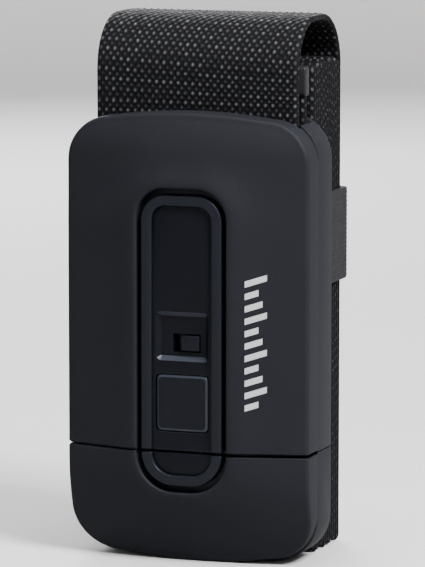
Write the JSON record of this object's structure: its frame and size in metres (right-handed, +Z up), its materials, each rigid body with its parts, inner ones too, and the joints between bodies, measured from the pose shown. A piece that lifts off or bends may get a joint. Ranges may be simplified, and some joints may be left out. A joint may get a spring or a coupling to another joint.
{
  "type": "luggage strap",
  "caption": "Wide woven luggage strap folded into a flat bundle behind a large two-part plastic release buckle with a push button and a lock slider.",
  "frame": {"origin": "middle of the bounding box at its base, the flat on the tongue end of the buckle", "axes": "+Z up the buckle from tongue to housing, -Y the buckle's face, X across the webbing"},
  "size_m": [0.06, 0.0454, 0.1282],
  "materials": {
    "cover_plastic": "soft matte",
    "bezel_plastic": "satin",
    "plate_plastic": "fine matte",
    "button_plastic": "satin",
    "inner_plastic": "matte",
    "tip_plastic": "satin",
    "keeper_elastic": "ribbed knit",
    "webbing": "woven",
    "steel": "zinc plated"
  },
  "bodies": {
    "strap": {"anchor_bar": "steel", "bezel_lower": "bezel_plastic", "blade_rivet_left": "steel", "blade_rivet_right": "steel", "tongue_back_cover": "cover_plastic", "tongue_blade": "steel", "tongue_core": "inner_plastic", "tongue_face_plate": "plate_plastic", "tongue_front_cover": "cover_plastic", "tongue_screw_left_1": "steel", "tongue_screw_right_1": "steel", "webbing_bundle": "webbing", "webbing_fixed_end": "webbing", "webbing_upper_strand": "webbing"},
    "housing": {"adjuster_bar": "steel", "back_cover": "cover_plastic", "bezel_upper": "bezel_plastic", "catch_screw": "steel", "catch_spring": "steel", "chassis": "inner_plastic", "face_plate": "plate_plastic", "front_cover": "cover_plastic", "housing_screw_left_1": "steel", "housing_screw_left_2": "steel", "housing_screw_right_1": "steel", "housing_screw_right_2": "steel", "return_spring_left": "steel", "return_spring_right": "steel", "slider_retainer": "inner_plastic", "tail_tip": "tip_plastic", "webbing_tail": "webbing"},
    "button": {"release_button": "button_plastic", "release_yoke": "inner_plastic"},
    "lock": {"lock_slider": "button_plastic"},
    "keeper": {"keeper_loop": "keeper_elastic"}
  },
  "joints": [
    {"name": "housing_pull", "type": "slide", "parent": "strap", "child": "housing", "axis": [0, 0, 1], "range_m": [0, 0.034], "deforming": ["catch_spring", "webbing_upper_strand"]},
    {"name": "button_press", "type": "slide", "parent": "housing", "child": "button", "axis": [0, 1, 0], "range_m": [0, 0.0018], "stiffness_N_per_m": 900, "springref_m": -0.0015, "deforming": ["return_spring_left", "return_spring_right"]},
    {"name": "lock_slide", "type": "slide", "parent": "housing", "child": "lock", "axis": [-1, 0, 0], "range_m": [0, 0.002]},
    {"name": "keeper_slide", "type": "slide", "parent": "strap", "child": "keeper", "axis": [0, 0, 1], "range_m": [-0.018, 0.018]}
  ]
}
